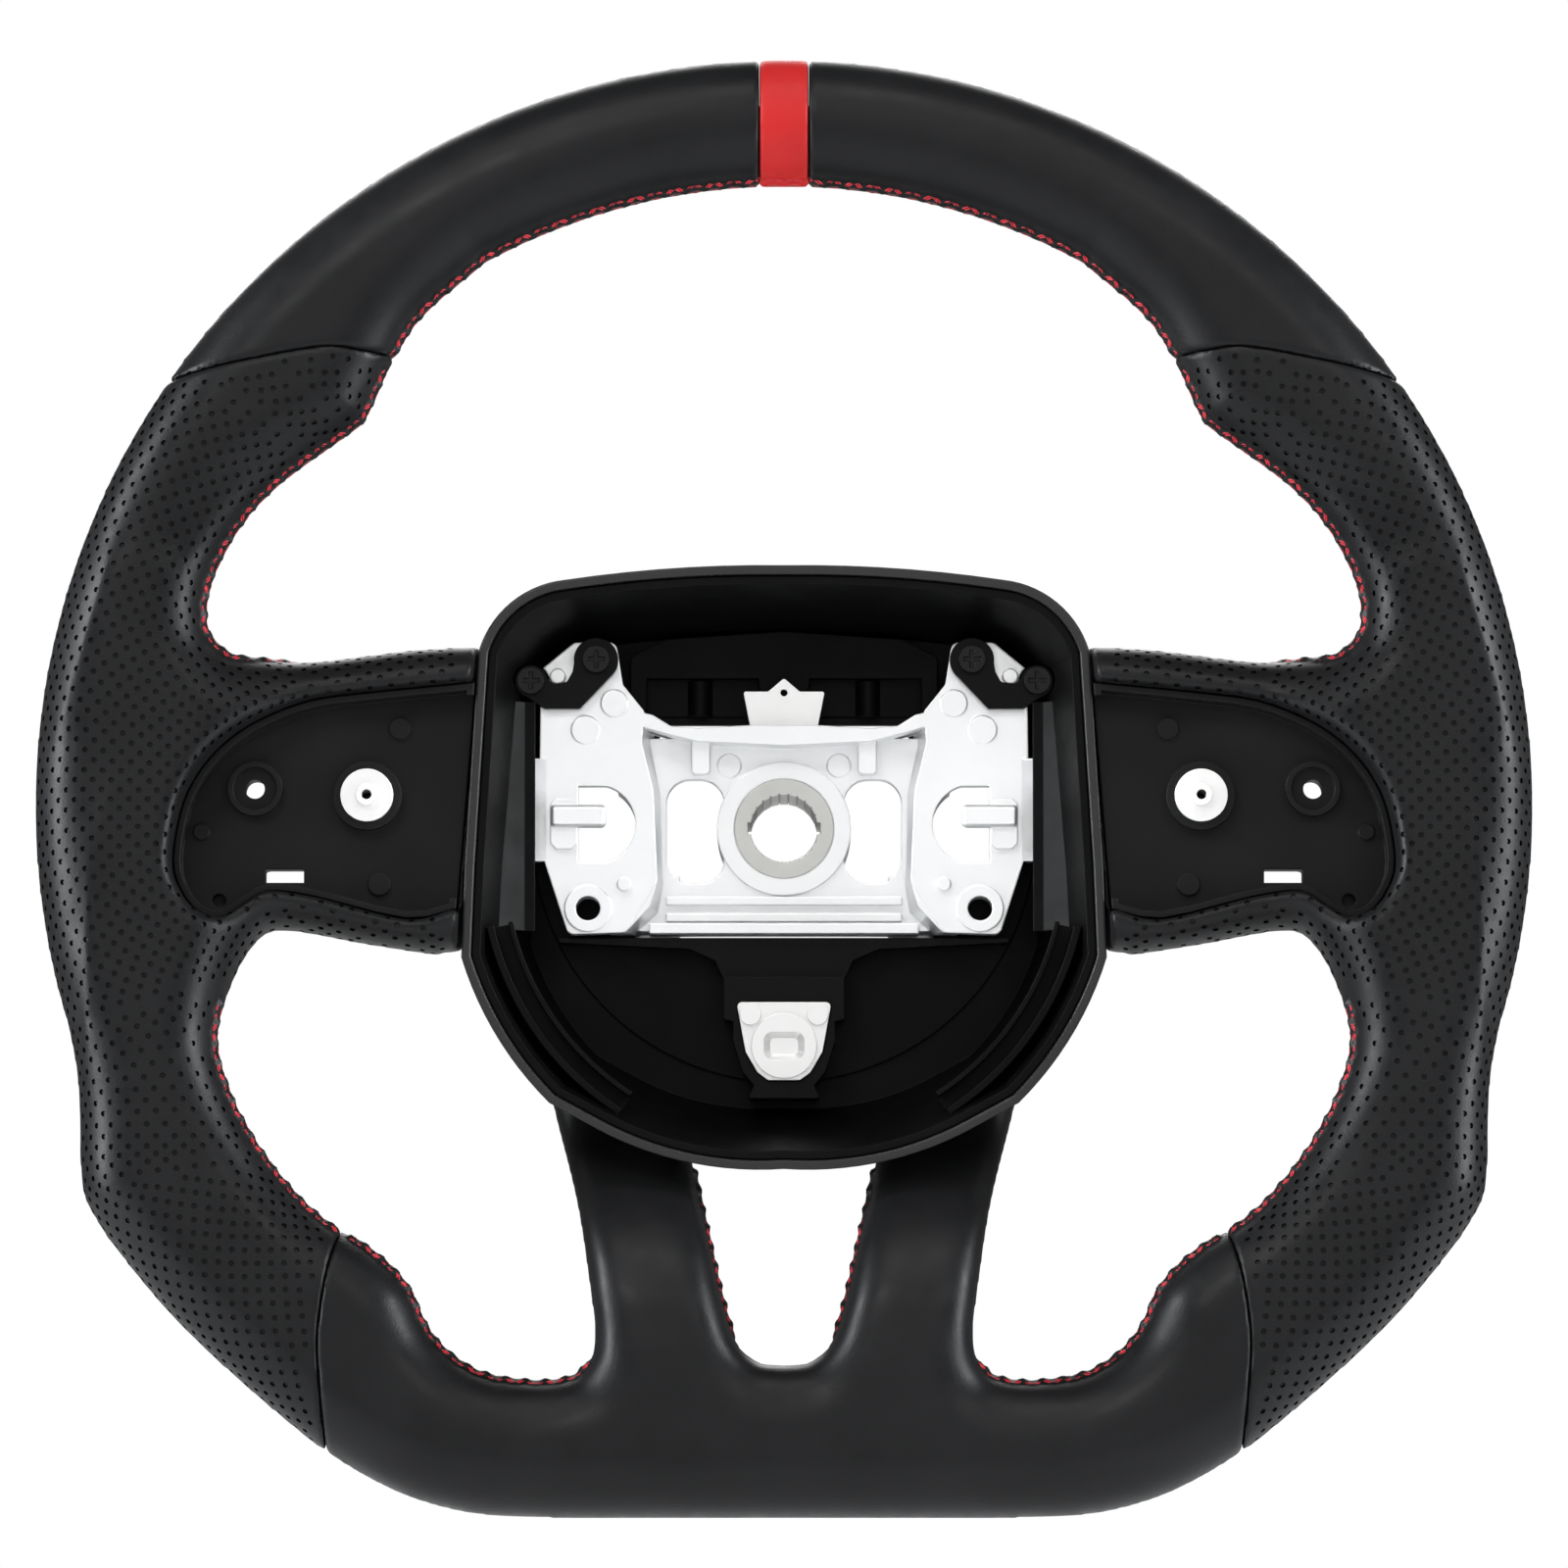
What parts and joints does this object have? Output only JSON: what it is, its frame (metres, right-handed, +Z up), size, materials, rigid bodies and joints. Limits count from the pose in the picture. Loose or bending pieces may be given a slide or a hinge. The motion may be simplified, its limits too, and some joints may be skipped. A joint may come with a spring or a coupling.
{
  "type": "steering wheel",
  "caption": "Flat-bottomed leather-wrapped car steering wheel without its airbag, with a splined hub and spoke switch pockets.",
  "frame": {"origin": "middle of the splined hub bore, on the column axis", "axes": "+Z up at the straight-ahead position, +X to the driver's right, +Y forward along the column, away from the driver"},
  "size_m": [0.3736, 0.0837, 0.3653],
  "materials": {
    "leather_smooth": "satin",
    "leather_perforated": "satin",
    "leather_red": "satin",
    "thread_red": "matte",
    "foam": "matte",
    "cast_metal": "satin",
    "steel": "satin",
    "core_steel": "matte",
    "black_plastic": "satin",
    "black_screw": "satin",
    "bright_metal": "satin"
  },
  "bodies": {
    "root": {"airbag_catch_left": "cast_metal", "airbag_catch_right": "cast_metal", "airbag_well": "black_plastic", "armature_casting": "cast_metal", "bracket_screws": "black_screw", "corner_bracket_left": "black_plastic", "corner_bracket_right": "black_plastic", "cover_screws": "black_screw", "foam_bottom": "foam", "foam_grip_left": "foam", "foam_grip_right": "foam", "foam_top": "foam", "hub_spline_insert": "steel", "leather_bottom": "leather_smooth", "leather_centre_stripe": "leather_red", "leather_grip_left": "leather_perforated", "leather_grip_right": "leather_perforated", "leather_top_left": "leather_smooth", "leather_top_right": "leather_smooth", "locator_plate": "bright_metal", "lower_catch_bush": "bright_metal", "lower_catch_frame": "black_plastic", "lower_catch_plate": "bright_metal", "rear_cover": "black_plastic", "rear_cover_screws": "black_screw", "rim_core_ring": "core_steel", "spoke_tray_left": "black_plastic", "spoke_tray_right": "black_plastic", "stitching_lower_left": "thread_red", "stitching_lower_right": "thread_red", "stitching_upper": "thread_red", "switch_insert_left": "bright_metal", "switch_insert_right": "bright_metal"}
  },
  "joints": []
}
